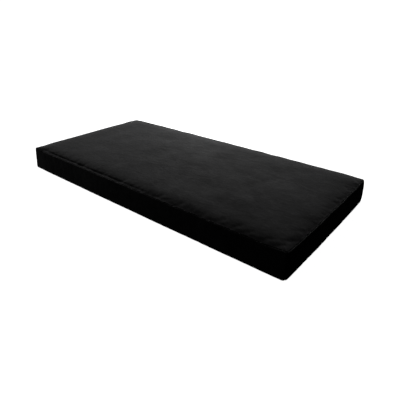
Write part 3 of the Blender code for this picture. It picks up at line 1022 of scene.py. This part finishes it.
def panel_rows(sizes, start, growth, most):
    """A panel's section: up its allowance, over the fold, and inwards to the middle."""
    edge = PANEL_INSET + sizes.fold
    allowance = [(PANEL_INSET, ALLOWANCE_TIP - EDGE)]
    over = arc((edge, -sizes.fold), sizes.fold, 180, 90, 8)
    inner = insets_between(edge, HALF_WIDTH, start, growth, most)
    return np.concatenate([allowance, over, np.stack([inner, 0 * inner], axis=-1)])


def seam_fold(sizes, half):
    """The wall's fold at a seam, from the wall over its crest to the tip of its allowance."""
    crest = WALL_TOP - sizes.fold - MID
    over = arc((sizes.fold, crest), sizes.fold, 180, 0, 10)
    section = np.concatenate([over, [(2 * sizes.fold, ALLOWANCE_TIP - MID)]])
    return section * (1, half) + (0, MID)


def hem_fold(half):
    """The wall's folded edge beside the zip, from the wall round the fold and along the hem."""
    around = arc((HEM_RADIUS, SLOT_RISE + HEM_RADIUS), HEM_RADIUS, 180, 360, 8)
    section = np.concatenate([around, [(2 * HEM_RADIUS, HEM_TIP)]])
    return section * (1, half) + (0, MID)


def wall_section(start, end, rows):
    """A wall between two folds, each of which runs away from it. Rows crowd near the folds."""
    way = 0.5 - 0.5 * np.cos(math.pi * np.linspace(0, 1, rows))[1:-1]
    height = start[0, 1] + (end[0, 1] - start[0, 1]) * way
    return np.concatenate([start[::-1], np.stack([0 * height, height], axis=-1), end])


def turned_in(points, facing, depth, gap):
    """A strip with a column more at each end, turned in where it meets the next one: its end
    moved inwards by a depth, and back along the strip by a gap."""
    ends = []
    for column, way, (x, y) in ((0, 1, facing[0]), (-1, -1, facing[-1])):
        moved = (-depth * x - way * gap * y, -depth * y + way * gap * x, 0)
        ends.append(points[:, [column]] + np.array(moved))
    return np.concatenate([ends[0], points, ends[1]], axis=1)


def spread_out(x, y, z):
    """Points of a grid from coordinates that may each be a row, a column or the whole grid."""
    return np.stack(np.broadcast_arrays(x, y, z), axis=-1)


def filling_section(sizes, depth, low_end):
    """The upper half of the filling's section, at a depth under the liner's face: up from its
    low end, a wall, a quarter of an ellipse, which clears the tip of the seam's allowance, and
    the level part inwards to the middle."""
    velvet = bpy.context.scene.futon_cover.velvet
    level = MID - velvet - CLEARANCE
    tip_inset = PANEL_INSET + velvet + CLEARANCE
    tip = ALLOWANCE_TIP - MID - CLEARANCE
    share_out = (FILLING_EDGE - tip_inset) / sizes.edge_round
    height = (level - tip) / (1 - math.sqrt(1 - share_out**2))
    turn = np.radians(np.linspace(90, 0, 11))
    edge = np.stack(
        [
            FILLING_EDGE - (sizes.edge_round - depth) * np.sin(turn),
            level - height + (height - depth) * np.cos(turn),
        ],
        axis=-1,
    )
    wall = np.linspace(low_end, level - height, 5)[:-1]
    wall = np.stack([np.full(4, LINER_INSET + depth), wall], axis=-1)
    inner = insets_between(FILLING_EDGE, HALF_WIDTH, 0.012, 1.2, 0.03)
    flat = np.stack([inner, np.full(len(inner), level - depth)], axis=-1)
    return np.concatenate([wall, edge, flat])


# Operators


class FUTON_OT_cover_panels(bpy.types.Operator):
    """Makes the cover's top and underside"""

    bl_idname = "futon.cover_panels"
    bl_label = "Cover Panels"

    def execute(self, context):
        form = cover()
        sizes = form.sizes
        halves = np.array((HALF_WIDTH, HALF_LENGTH))
        cut = 2 * (halves - PANEL_INSET + EDGE - ALLOWANCE_TIP)
        for name, node, top, rows in (
            ("velvet_top", "cover_top_panel", True, panel_rows(sizes, 0.002, 1.07, 0.012)),
            ("velvet_underside", "cover_bottom_panel", False, panel_rows(sizes, 0.003, 1.3, 0.04)),
        ):
            mesh = grid_mesh(name, form.panel(rows, top), wrap_columns=True, weld=True, centre=CENTRE)
            piece = show(mesh, name, MATTRESS, "velvet", [node], sizes.velvet)
        return {"FINISHED"}


class FUTON_OT_walls(bpy.types.Operator):
    """Makes the cover's walls"""

    bl_idname = "futon.walls"
    bl_label = "Walls"
    TURN_IN = 0.002  # how far a wall's end is turned in at a corner's seam
    END_GAP = 0.0002

    def execute(self, context):
        form = cover()
        sizes = form.sizes
        whole = wall_section(seam_fold(sizes, -1), seam_fold(sizes, 1), 24)
        upper = wall_section(hem_fold(1), seam_fold(sizes, 1), 14)
        lower = wall_section(seam_fold(sizes, -1), hem_fold(-1), 14)
        for side, name, node, rows in (
            (FRONT, "velvet_front_wall", "boxing_front", whole),
            (LEFT, "velvet_left_wall", "boxing_left", whole),
            (RIGHT, "velvet_right_wall", "boxing_right", whole),
            (REAR, "velvet_rear_wall_upper", "boxing_rear_upper", upper),
            (REAR, "velvet_rear_wall_lower", "boxing_rear_lower", lower),
        ):
            columns = form.plan.side(side)
            facing = form.plan.facing[columns]
            points = turned_in(form.wall(rows)[:, columns], facing, self.TURN_IN, self.END_GAP)
            mesh = grid_mesh(name, points, centre=CENTRE)
            piece = show(mesh, name, MATTRESS, "velvet", [node], sizes.velvet)
        return {"FINISHED"}


class FUTON_OT_seams(bpy.types.Operator):
    """Sews the panels to the walls and the walls to each other"""

    bl_idname = "futon.seams"
    bl_label = "Seams"
    CORNER_MARGIN = 0.003  # from the end of a corner's seam to its first stitch
    SUNK = 0.0002  # how far a corner's stitches are sunk in the velvet

    def execute(self, context):
        form = cover()
        plan = form.plan
        stitch = form.sizes.stitch
        for name, node, half, seam_out in (
            ("seam_stitches_top", "top_seam_thread", 1, form.top_out),
            ("seam_stitches_bottom", "bottom_seam_thread", -1, form.bottom_out),
        ):
            inset = np.full((1, plan.count), inset_of(node) + THREAD)
            height = middle(node)[2] + (form.seam_lift if half > 0 else 0)
            line = form.placed(inset, height, seam_out)[0]
            mesh = stitched(name, line, np.array((0, 0, -half)), THREAD, stitch, closed=True)
            show(mesh, name, MATTRESS, "thread", [node])
        first, last = EDGE - WALL_TOP + self.CORNER_MARGIN, WALL_TOP - self.CORNER_MARGIN
        height = np.linspace(first, last, 30)
        rows = np.stack([np.full(len(height), self.SUNK), height], axis=-1)
        wall = form.wall(rows)
        names = ("front_right", "rear_right", "rear_left", "front_left")
        for corner, column in zip(names, plan.seam_columns):
            name = f"corner_stitches_{corner}"
            inward = np.append(-plan.facing[column], 0)
            mesh = stitched(name, wall[:, column], inward, THREAD, stitch, up=(1, 0, 0))
            show(mesh, name, MATTRESS, "thread", [f"corner_seam_thread_{corner}"])
        return {"FINISHED"}


class FUTON_OT_zip(bpy.types.Operator):
    """Makes the zip's tapes, teeth and stitching"""

    bl_idname = "futon.zip"
    bl_label = "Zip"
    BEAD = 0.0016  # width of the thicker edge of a tape
    MESHED = 0.00042  # how near to the zip's middle a row of teeth starts

    def execute(self, context):
        for half, name in ((1, "upper"), (-1, "lower")):
            self.tape(name, half)
            self.topstitch(name, half)
            self.coil(context.scene.futon_zip, name, half)
        for name in ("left", "right"):
            self.bartack(name)
        return {"FINISHED"}

    def tape(self, name, half):
        """A flat band with a slightly thicker edge beside the teeth, carried along the rear."""
        form = cover()
        node = f"zip_tape_{name}"
        near, far = sorted((half * (low(node)[2] - MID), half * (high(node)[2] - MID)))
        depth = inset_of("liner_upper") - CLEARANCE - TAPE_INSET
        crest, foot = near + self.BEAD / 2, near + self.BEAD
        rise = np.array([near, crest, foot, far, far, foot, crest, near])
        inset = TAPE_INSET + depth * np.array([0.1, -0.2, 0.1, 0, 1, 1, 1.2, 1])
        rows = np.stack([inset, MID + half * rise], axis=-1)
        columns = form.plan.side(REAR)[1:-1]
        out = form.outward(rows[:, 1:]) - form.crease
        points = form.placed(rows[:, :1], rows[:, 1:], out)[:, columns]
        across = np.append(rise, rise[0])[:, None]
        along = np.broadcast_to(form.plan.along[columns], (len(across), len(columns)))
        uv = np.stack([along, np.broadcast_to(across, along.shape)], axis=-1)
        mesh = grid_mesh("tape", points, wrap_rows=True, capped=True, uv=uv)
        piece = show(mesh, f"zip_band_{name}", MATTRESS, "tape", [node])
        flat = (far - near, along[0, -1] - along[0, 0])

    def topstitch(self, name, half):
        """A line of stitches on the wall's face, beside its folded edge."""
        form = cover()
        node = f"zip_topstitch_{name}"
        columns = form.plan.side(REAR)[2:-2]
        height = np.array([[middle(node)[2]]])
        proud = np.array([[-0.6 * THREAD]])
        line = form.placed(proud, height, form.outward(height) - form.crease)[0, columns]
        inward = np.hstack([-form.plan.facing[columns], np.zeros((len(columns), 1))])
        mesh = stitched(name, line, inward, THREAD, form.sizes.stitch)
        show(mesh, f"zip_edge_stitches_{name}", MATTRESS, "thread", [node])

    def coil(self, sizes, name, half):
        """A row of teeth: wire wound as a flattened helix, x = pitch t, with an ellipse across.
        It reaches nearer to the other row than the plain solid does, as teeth that mesh."""
        node = f"zip_coil_{name}"
        turns = int(2 * ZIP_HALF / sizes.coil_pitch) - 1
        samples = 9
        turn = half * FULL_TURN * np.arange(turns * samples + 1) / samples
        outer = half * ((high(node) if half > 0 else low(node))[2] - MID)
        deep = (high(node)[1] - low(node)[1]) / 2 - sizes.coil_wire
        wide = (outer - self.MESHED) / 2 - sizes.coil_wire
        start = -sizes.coil_pitch * turns / 2 + (sizes.coil_pitch / 2 if half < 0 else 0)
        path = spread_out(
            start + sizes.coil_pitch * half * turn / FULL_TURN,
            middle(node)[1] + deep * np.cos(turn),
            MID + half * (outer + self.MESHED) / 2 + wide * np.sin(turn),
        )
        mesh = tube(name, path, sizes.coil_wire, 5, up=(1, 0, 0))
        show(mesh, f"zip_teeth_{name}", MATTRESS, "coil", [node])

    def bartack(self, name):
        """Thread wound closely across the end of the teeth: a flat helix up the wall."""
        node = f"zip_bartack_{name}"
        reach = (high(node) - low(node)) / 2 - THREAD
        turns = round(reach[2] / THREAD)
        turn = np.linspace(0, FULL_TURN * turns, turns * 10 + 1)
        climb = np.linspace(-1, 1, len(turn))
        path = middle(node) + reach * spread_out(np.cos(turn), np.sin(turn), climb)
        mesh = tube(name, path, THREAD, 6)
        show(mesh, f"zip_end_stitches_{name}", MATTRESS, "thread", [node])


class FUTON_OT_slider(bpy.types.Operator):
    """Makes the zip's slider and its wire loop"""

    bl_idname = "futon.slider"
    bl_label = "Slider"
    NECK = 0.0003  # half the thickness of the neck between the plates
    BEND = 0.0012  # radius of the loop's bends
    SPAN = 0.0035  # from the slider's middle to a leg of the loop

    def execute(self, context):
        """The body is two plates on a neck: half a section of (inset, rise, share of the waist),
        mirrored, whose rise narrows by the waist towards its ends as 0.9 x^5. The loop is two
        legs with quarter turns at the top."""
        node = "zip_slider"
        wire = context.scene.futon_zip.bail_wire
        outer = inset_of("zip_coil_upper") - CLEARANCE
        inner = LINER_INSET
        plate = HALF_WIDTH - low(node)[1] - inner
        width = high(node)[2] - MID
        flange = high("zip_coil_upper")[2] - MID + CLEARANCE
        half = np.array(
            [
                (outer - plate, 0.0, 0),
                (outer - plate, 0.6 * width, 0),
                (outer - plate + 0.0001, width, 1),
                (TAPE_INSET - CLEARANCE, width, 1),
                (TAPE_INSET - CLEARANCE, flange, 0),
                (outer, flange, 0),
                (outer, self.NECK, 0),
                (inner, self.NECK, 0),
                (inner, width, 1),
                (inner + plate, width, 1),
                (inner + plate, 0.0, 0),
            ]
        )
        section = np.concatenate([half, half[-2:0:-1] * (1, -1, 1)])
        inset, rise, share_in = (section[:, [column]] for column in range(3))
        spread = np.linspace(-1, 1, 15)
        waist = 0.9 * np.abs(spread) ** 5
        reach = (high(node)[0] - low(node)[0]) / 2
        x = middle(node)[0] + reach * spread
        rise = rise - share_in * np.sign(rise) * (width - flange) * waist
        points = spread_out(x, HALF_WIDTH - inset, MID + rise)
        body = grid_mesh("body", points, wrap_rows=True, capped=True)
        body.set_sharp_from_angle(angle=math.radians(35))
        foot = HALF_WIDTH - outer + plate / 2
        top = SWING["pos_m"][1]
        bend = arc((self.SPAN - self.BEND, top - self.BEND), self.BEND, 0, 90, 5)
        right = np.concatenate([[(self.SPAN, foot)], bend])
        line = np.concatenate([right, right[::-1] * (-1, 1)])
        bail = tube("bail", spread_out(line[:, 0] + middle(node)[0], line[:, 1], MID), wire, 10)
        piece = show(joined(node, [body, bail]), "slider_metal", SLIDER, "metal", [node])
        edges = piece.modifiers.new("edges", "BEVEL")
        edges.width = 0.00012
        edges.segments = 2
        edges.angle_limit = math.radians(50)
        return {"FINISHED"}


class FUTON_OT_pull(bpy.types.Operator):
    """Makes the zip's pull tab"""

    bl_idname = "futon.pull"
    bl_label = "Pull Tab"
    BORE = 0.0010  # radius of the hole that the loop runs through
    BARREL = 0.0050  # length of the pipe round the loop
    SLOT = (0.0014, 0.0055)  # half the slot's width and length
    # The plate's section from its outline to its slot: (share of the way in, share of the
    # half thickness), over one face and back over the other
    PLATE = np.array(
        [
            (0, -0.5),
            (0, 0.5),
            (0.06, 1),
            (0.5, 0.8),
            (0.9, 0.8),
            (1, 0.4),
            (1, -0.4),
            (0.9, -0.8),
            (0.5, -0.8),
            (0.06, -1),
        ]
    )
    # The pipe's section: (share of the half length, share of the way in from its outside)
    PIPE = np.array(
        [
            (-1, 0.15),
            (-0.9, 0.0),
            (0.9, 0.0),
            (1, 0.15),
            (1, 0.85),
            (0.9, 1.0),
            (-0.9, 1.0),
            (-1, 0.85),
        ]
    )

    def execute(self, context):
        """A plate with a slot through it, which is a ring: its section is carried round the
        outline, a rounded and tapered oblong. The knuckle is a short pipe round the loop."""
        node = "zip_pull"
        thickness = context.scene.futon_zip.pull_thickness
        axis = np.array(SWING["pos_m"])
        knuckle = high(node)[2] - axis[2]
        width = high(node)[0] - low(node)[0]
        tip = low(node)[2] - axis[2]
        top = -(self.BORE + knuckle) / 2
        centre, length = (tip + top) / 2, (top - tip) / 2
        angle = np.linspace(0, FULL_TURN, 73)[:-1]
        across, down = np.cos(angle), np.sin(angle)
        side, end = np.sign(across) * np.abs(across) ** 0.5, np.sign(down) * np.abs(down) ** 0.35
        taper = self.BARREL / width + (1 - self.BARREL / width) * smooth((1 - end) / 1.6)
        outer = np.stack([side * width / 2 * taper, end * length], axis=-1)
        slot_end = np.sign(down) * np.abs(down) ** 0.8
        slot = np.stack([self.SLOT[0] * across, self.SLOT[1] * slot_end - 0.30 * length], axis=-1)
        way_in, depth = self.PLATE[:, :1], self.PLATE[:, 1:] * thickness / 2
        flat = outer + (slot - outer) * way_in[..., None]
        points = axis + spread_out(flat[..., 0], depth, centre + flat[..., 1])
        plate = grid_mesh("plate", points, wrap_rows=True, wrap_columns=True)
        radius = knuckle + (self.BORE - knuckle) * self.PIPE[:, 1:]
        turn = np.linspace(0, FULL_TURN, 33)[:-1]
        x = self.PIPE[:, :1] * self.BARREL / 2
        around = axis + spread_out(x, radius * np.cos(turn), radius * np.sin(turn))
        pipe = grid_mesh("pipe", around, wrap_rows=True, wrap_columns=True)
        mesh = joined(node, [plate, pipe])
        mesh.set_sharp_from_angle(angle=math.radians(40))
        show(mesh, "pull_tab", PULL, "metal", [node])
        return {"FINISHED"}


class FUTON_OT_label(bpy.types.Operator):
    """Makes the blank label sewn to the rear wall"""

    bl_idname = "futon.label"
    bl_label = "Label"
    CURL = 0.0030  # how far the free edge stands off the wall
    STITCH = 0.0025

    def execute(self, context):
        """The label follows the wall at its sewn top edge and stands off it towards its free
        edge, where it curls: by curl s^2, with a wave across it."""
        form = cover()
        node = "care_label"
        columns = form.plan.side(REAR)[::-1]
        x = np.linspace(low(node)[0], high(node)[0], 31)
        height = np.linspace(high(node)[2], low(node)[2], 21)[:, None]
        wall = form.placed(0 * height, height, form.outward(height))[:, columns]
        y = np.stack([np.interp(x, row[:, 0], row[:, 1]) for row in wall])
        down = np.linspace(0, 1, 21)[:, None]
        across = np.linspace(-1, 1, 31)
        curled = 1 + 0.5 * across**2 + 0.25 * np.sin(4 * across + 1)
        points = spread_out(x, y + CLEARANCE + self.CURL * down**2 * curled, height)
        uv = points[..., [0, 2]]
        mesh = grid_mesh(node, points, uv=uv, centre=CENTRE)
        thickness = context.scene.futon_zip.label
        piece = show(mesh, "blank_label", MATTRESS, "label", [node], thickness, 1.0)
        line = points[2, 1:-1] + (0, thickness + 0.5 * THREAD, 0)
        stitches = stitched("label", line, np.array((0, -1, 0)), 0.6 * THREAD, self.STITCH)
        sewn = show(stitches, "label_stitches", MATTRESS, "thread", [])
        return {"FINISHED"}


class FUTON_OT_filling(bpy.types.Operator):
    """Makes the liner, the batting and the foam core"""

    bl_idname = "futon.filling"
    bl_label = "Filling"
    OVER_SLIDER = 0.0068  # from the slider's edge to where the filling comes out to the wall
    WAIST_SLOPE = 0.006  # height over which the case comes out from its waist
    TURN_IN = 0.005  # allowance of the case's seam
    WADDING_GAP = 0.002
    STITCH = 0.004

    def execute(self, context):
        sizes = context.scene.futon_filling
        shoulder = high("zip_slider")[2] - MID + self.OVER_SLIDER
        under_liner = sizes.liner + CLEARANCE
        for half, name in ((1, "upper"), (-1, "lower")):
            self.case(sizes, name, half, shoulder)
            self.wadding(sizes, name, half, under_liner, shoulder + self.WADDING_GAP)
        form = cover()
        rows = filling_section(sizes, under_liner + sizes.batting + CLEARANCE, shoulder)
        rows = np.concatenate([rows[::-1] * (1, -1), rows])
        mesh = grid_mesh("foam", form.filling(rows), wrap_columns=True, weld=True, centre=CENTRE)
        piece = show(mesh, "foam_block", MATTRESS, "foam", ["foam_core"])
        node = "liner_seam_thread"
        inset = np.full((1, form.plan.count), inset_of(node) + LINER_THREAD)
        line = form.placed(inset, MID, form.outward(np.full((1, 1), MID)) * form.fade(inset))[0]
        mesh = stitched(node, line, np.zeros(3), LINER_THREAD, self.STITCH, closed=True)
        show(mesh, "inner_case_stitches", MATTRESS, "liner_thread", [node])
        return {"FINISHED"}

    def case(self, sizes, name, half, shoulder):
        """Half of the inner case: a waist behind the zip, turned in at its seam, and the rest."""
        turn_in = WAIST_INSET + self.TURN_IN
        waist = [
            (turn_in, CLEARANCE / 2),
            (WAIST_INSET, CLEARANCE / 2),
            (WAIST_INSET, shoulder - self.WAIST_SLOPE),
        ]
        rows = np.concatenate([waist, filling_section(sizes, 0.0, shoulder)]) * (1, half)
        points = cover().filling(rows)
        mesh = grid_mesh(name, points, wrap_columns=True, weld=True, centre=CENTRE)
        nodes = [f"liner_{name}"]
        piece = show(mesh, f"inner_case_{name}", MATTRESS, "liner", nodes, sizes.liner)
        reach = MID + turn_in - WAIST_INSET
        flat = [2 * (half_side + reach) for half_side in (HALF_WIDTH, HALF_LENGTH)]
        area = flat[0] * flat[1] - 4 * MID**2

    def wadding(self, sizes, name, half, depth, low_end):
        """Half of the batting, with soft dents over its level part."""
        rows = filling_section(sizes, depth, low_end)
        points = cover().filling(rows * (1, half))
        loft = ripple(points[..., 0], points[..., 1], *LOFT_SWELL)
        points[..., 2] += half * np.minimum(loft, 0) * smooth((rows[:, :1] - 0.02) / 0.05)
        mesh = grid_mesh(name, points, wrap_columns=True, weld=True, centre=CENTRE)
        nodes = [f"batting_{name}"]
        piece = show(mesh, f"wadding_{name}", MATTRESS, "batting", nodes, sizes.batting)


class FUTON_OT_stage(bpy.types.Operator):
    """Makes the floor, the lights and the camera"""

    bl_idname = "futon.stage"
    bl_label = "Stage"
    CAMERA = (1.5343, -1.7284, 1.072)
    AZIMUTH, ELEVATION, ROLL = 39.02, 27.65, 0.4
    LENS = 33.7
    FLOOR_DROP = 0.0005  # gap between the floor and the mattress

    def execute(self, context):
        scene = context.scene
        scene.view_settings.view_transform = "Standard"
        self.floor(scene)
        self.world(scene)
        self.sun(scene, "key", (-0.6, 1.0, 0.45), 1.65, 26)
        self.softbox(scene, "back", (-0.9, 1.6, 0.55), (-0.4, 0.2, 0.15), 13.4, 0.8)
        self.softbox(scene, "front_left", (-2.0, -1.0, 0.6), (0.0, 0.0, 0.1), 2.4, 0.8)
        self.softbox(scene, "front", (-0.3, -1.6, 1.0), (0.0, 0.0, 0.1), 2.0, 1.0)
        self.camera(scene)
        return {"FINISHED"}

    def sun(self, scene, name, toward, strength, spread):
        """A far lamp in the direction of toward. Its disc is spread degrees wide, which softens
        the shadows."""
        lamp = bpy.data.lights.new(name, "SUN")
        lamp.energy = strength
        lamp.angle = math.radians(spread)
        self.aimed(scene, name, lamp, Vector(toward))

    def softbox(self, scene, name, place, target, power, side):
        """A square lamp near the mattress, so that its light fades along it."""
        lamp = bpy.data.lights.new(name, "AREA")
        lamp.energy = power
        lamp.size = side
        self.aimed(scene, name, lamp, Vector(place) - Vector(target)).location = place

    def aimed(self, scene, name, lamp, back):
        light = bpy.data.objects.new(name, lamp)
        light.rotation_mode = "QUATERNION"
        light.rotation_quaternion = back.to_track_quat("Z", "Y")
        scene.collection.objects.link(light)
        return light

    def floor(self, scene):
        """A pale floor. It glows a little, and its bounce doesn't reach the mattress."""
        side = np.array((-60.0, 60.0))
        points = spread_out(side, side[:, None], -self.FLOOR_DROP)
        mesh = grid_mesh("floor", points, centre=(0, 0, -1))
        floor = bpy.data.objects.new("floor", mesh)
        scene.collection.objects.link(floor)
        glow = {"Emission Color": rgba((1, 1, 1)), "Emission Strength": 1.0}
        paint = Finish("floor", {"Roughness": 0.9, **glow})
        paint.tones(paint.noise(paint.place(), 3.0), (0.9, 0.9, 0.9), 0.98, 1.02)
        mesh.materials.append(paint.material)
        floor.visible_diffuse = False
        floor.visible_glossy = False

    def world(self, scene):
        """White to look at, and a dim light from all sides."""
        scene.world = bpy.data.worlds.new("studio")
        scene.world.use_nodes = True
        sky = Nodes(scene.world.node_tree)
        fill, white = 0.005, 1.1
        seen = sky.add("LightPath", {}, {}, "Is Camera Ray")
        background = sky.tree.nodes["Background"]
        background.inputs["Color"].default_value = rgba((1, 1, 1))
        feed(sky.tree, background.inputs["Strength"], seen * (white - fill) + fill)

    def camera(self, scene):
        """Looks down at a corner from the front right."""
        azimuth, elevation, roll = map(math.radians, (self.AZIMUTH, self.ELEVATION, self.ROLL))
        level = math.cos(elevation)
        back = Vector((math.sin(azimuth) * level, -math.cos(azimuth) * level, math.sin(elevation)))
        lens = bpy.data.cameras.new("camera")
        lens.lens = self.LENS
        lens.sensor_width = 36.0
        camera = bpy.data.objects.new("camera", lens)
        camera.location = self.CAMERA
        camera.rotation_mode = "QUATERNION"
        camera.rotation_quaternion = back.to_track_quat("Z", "Y") @ Quaternion((0, 0, 1), roll)
        scene.collection.objects.link(camera)
        scene.camera = camera


class FUTON_PT_pieces(bpy.types.Panel):
    """Lists the operators that make the mattress"""

    bl_idname = "FUTON_PT_pieces"
    bl_label = "Futon Mattress"
    bl_space_type = "VIEW_3D"
    bl_region_type = "UI"
    bl_category = "Futon"

    def draw(self, context):
        for operator in OPERATORS:
            self.layout.operator(operator.bl_idname)


OPERATORS = (
    FUTON_OT_stage,
    FUTON_OT_cover_panels,
    FUTON_OT_walls,
    FUTON_OT_seams,
    FUTON_OT_zip,
    FUTON_OT_slider,
    FUTON_OT_pull,
    FUTON_OT_label,
    FUTON_OT_filling,
)
SETTINGS = {
    "futon_cover": FutonCover,
    "futon_zip": FutonZip,
    "futon_filling": FutonFilling,
    "futon_colours": FutonColours,
}


def register():
    for each in (*SETTINGS.values(), *OPERATORS, FUTON_PT_pieces):
        bpy.utils.register_class(each)
    for name, group in SETTINGS.items():
        setattr(bpy.types.Scene, name, bpy.props.PointerProperty(type=group))


def unregister():
    for name in SETTINGS:
        delattr(bpy.types.Scene, name)
    for each in (FUTON_PT_pieces, *reversed(OPERATORS), *SETTINGS.values()):
        bpy.utils.unregister_class(each)


def main():
    register()
    bpy.ops.futon.stage()
    bpy.ops.futon.cover_panels()
    bpy.ops.futon.walls()
    bpy.ops.futon.seams()
    bpy.ops.futon.zip()
    bpy.ops.futon.slider()
    bpy.ops.futon.pull()
    bpy.ops.futon.label()
    bpy.ops.futon.filling()


if __name__ == "__main__":
    main()
